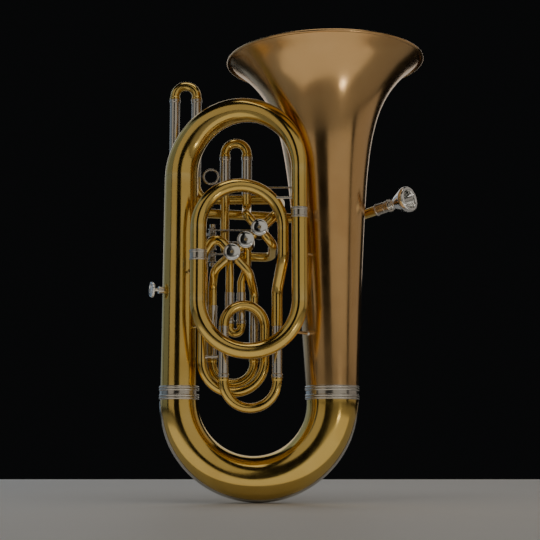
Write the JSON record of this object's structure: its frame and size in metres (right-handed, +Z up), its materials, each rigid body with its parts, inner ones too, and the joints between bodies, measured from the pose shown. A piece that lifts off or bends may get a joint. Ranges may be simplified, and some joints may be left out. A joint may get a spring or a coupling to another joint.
{
  "type": "baritone horn",
  "caption": "Bell-up brass baritone horn: conical body, oval tube wound in front, sloping row of rotary valves worked by levers, slides that pull and a removable mouthpiece.",
  "frame": {"origin": "on the ground line under the middle of the bottom bow, in the plane of the body's tubes", "axes": "+Z up along the horn towards the bell mouth, +X towards the bell's side, +Y away from the viewer (the levers' side), -Y the side with the front oval"},
  "size_m": [0.4067, 0.2946, 0.6543],
  "materials": {
    "bell_brass": "mirror-polished rose brass under clear lacquer",
    "body_brass": "mirror-polished yellow brass under clear lacquer",
    "nickel_silver": "polished nickel silver",
    "silver_plate": "bright silver plate",
    "steel": "polished steel",
    "rotor_bronze": "machined bearing metal, oiled"
  },
  "bodies": {
    "horn": {"bottom_bow": "body_brass", "bow_guard": "nickel_silver", "left_branch": "body_brass", "bell": "bell_brass", "bell_rim": "bell_brass", "body_ferrules": "nickel_silver", "top_bow": "body_brass", "oval_right_leg": "body_brass", "oval_low_bow": "body_brass", "oval_left_leg": "body_brass", "inner_arc": "body_brass", "oval_ferrules": "nickel_silver", "inner_tail": "body_brass", "valve_casings": "body_brass", "valve_caps": "silver_plate", "back_plates": "nickel_silver", "tuning_sleeves": "nickel_silver", "first_sleeves": "nickel_silver", "second_sleeves": "nickel_silver", "third_sleeves": "nickel_silver", "lower_sleeves": "nickel_silver", "lower_crook": "body_brass", "valve_outlet": "body_brass", "valve_knuckles": "body_brass", "first_crooks": "body_brass", "second_crooks": "body_brass", "third_crooks": "body_brass", "mouthpipe": "body_brass", "valve_inlet": "body_brass", "receiver": "nickel_silver", "lever_axle": "steel", "axle_posts": "nickel_silver", "stays": "nickel_silver", "lyre_socket": "nickel_silver", "thumb_ring": "nickel_silver"},
    "valve_1": {"rotor_1": "rotor_bronze", "stop_arm_1": "steel"},
    "key_1": {"lever_1": "nickel_silver"},
    "rod_1": {"link_1": "steel"},
    "valve_2": {"rotor_2": "rotor_bronze", "stop_arm_2": "steel"},
    "key_2": {"lever_2": "nickel_silver"},
    "rod_2": {"link_2": "steel"},
    "valve_3": {"rotor_3": "rotor_bronze", "stop_arm_3": "steel"},
    "key_3": {"lever_3": "nickel_silver"},
    "rod_3": {"link_3": "steel"},
    "tuning_slide": {"tuning_legs": "nickel_silver", "tuning_bow": "body_brass"},
    "first_slide": {"first_legs": "nickel_silver", "first_bow": "body_brass"},
    "second_slide": {"second_legs": "nickel_silver", "second_bow": "body_brass"},
    "third_slide": {"third_legs": "nickel_silver", "third_bow": "body_brass"},
    "lower_slide": {"lower_legs": "nickel_silver", "lower_bow": "body_brass"},
    "mouthpiece_body": {"mouthpiece": "silver_plate"},
    "lyre_screw_body": {"lyre_screw": "silver_plate"}
  },
  "joints": [
    {"name": "lever_1_press", "type": "hinge", "parent": "horn", "child": "key_1", "pos_m": [-0.066, 0.038, 0.39613], "axis": [0, 0, 1], "range_deg": [0, 20], "stiffness_Nm_per_rad": 0.1, "springref_deg": -5.73},
    {"name": "rotor_1_turn", "type": "hinge", "parent": "horn", "child": "valve_1", "pos_m": [0.0056, 0, 0.391], "axis": [0, 1, 0], "range_deg": [0, 90]},
    {"name": "link_1_level", "type": "hinge", "parent": "key_1", "child": "rod_1", "pos_m": [-0.066, 0.008, 0.39613], "axis": [0, 0, 1], "range_deg": [-20, 0]},
    {"name": "lever_2_press", "type": "hinge", "parent": "horn", "child": "key_2", "pos_m": [-0.066, 0.038, 0.37823], "axis": [0, 0, 1], "range_deg": [0, 20], "stiffness_Nm_per_rad": 0.1, "springref_deg": -5.73},
    {"name": "rotor_2_turn", "type": "hinge", "parent": "horn", "child": "valve_2", "pos_m": [-0.01407, 0, 0.3731], "axis": [0, 1, 0], "range_deg": [0, 90]},
    {"name": "link_2_level", "type": "hinge", "parent": "key_2", "child": "rod_2", "pos_m": [-0.066, 0.008, 0.37823], "axis": [0, 0, 1], "range_deg": [-20, 0]},
    {"name": "lever_3_press", "type": "hinge", "parent": "horn", "child": "key_3", "pos_m": [-0.066, 0.038, 0.36033], "axis": [0, 0, 1], "range_deg": [0, 20], "stiffness_Nm_per_rad": 0.1, "springref_deg": -5.73},
    {"name": "rotor_3_turn", "type": "hinge", "parent": "horn", "child": "valve_3", "pos_m": [-0.03375, 0, 0.3552], "axis": [0, 1, 0], "range_deg": [0, 90]},
    {"name": "link_3_level", "type": "hinge", "parent": "key_3", "child": "rod_3", "pos_m": [-0.066, 0.008, 0.36033], "axis": [0, 0, 1], "range_deg": [-20, 0]},
    {"name": "tuning_slide_pull", "type": "slide", "parent": "horn", "child": "tuning_slide", "axis": [0, 0, 1], "range_m": [0, 0.06]},
    {"name": "first_slide_pull", "type": "slide", "parent": "horn", "child": "first_slide", "axis": [0, 0, 1], "range_m": [0, 0.035]},
    {"name": "second_slide_pull", "type": "slide", "parent": "horn", "child": "second_slide", "axis": [0, 0, -1], "range_m": [0, 0.025]},
    {"name": "third_slide_pull", "type": "slide", "parent": "horn", "child": "third_slide", "axis": [0, 0, -1], "range_m": [0, 0.05]},
    {"name": "lower_slide_pull", "type": "slide", "parent": "horn", "child": "lower_slide", "axis": [0, 0, -1], "range_m": [0, 0.045]},
    {"name": "mouthpiece_pull", "type": "slide", "parent": "horn", "child": "mouthpiece_body", "axis": [0.7309, -0.6658, 0.1502], "range_m": [0, 0.03]},
    {"name": "lyre_screw_turn", "type": "hinge", "parent": "horn", "child": "lyre_screw_body", "pos_m": [-0.1105, 0, 0.3045], "axis": [-0.9404, -0.3401, 0], "continuous": true}
  ],
  "couplings": [
    {"joint": "rotor_1_turn", "follows": "lever_1_press", "ratio": 4.5},
    {"joint": "link_1_level", "follows": "lever_1_press", "ratio": -1},
    {"joint": "rotor_2_turn", "follows": "lever_2_press", "ratio": 4.5},
    {"joint": "link_2_level", "follows": "lever_2_press", "ratio": -1},
    {"joint": "rotor_3_turn", "follows": "lever_3_press", "ratio": 4.5},
    {"joint": "link_3_level", "follows": "lever_3_press", "ratio": -1}
  ]
}
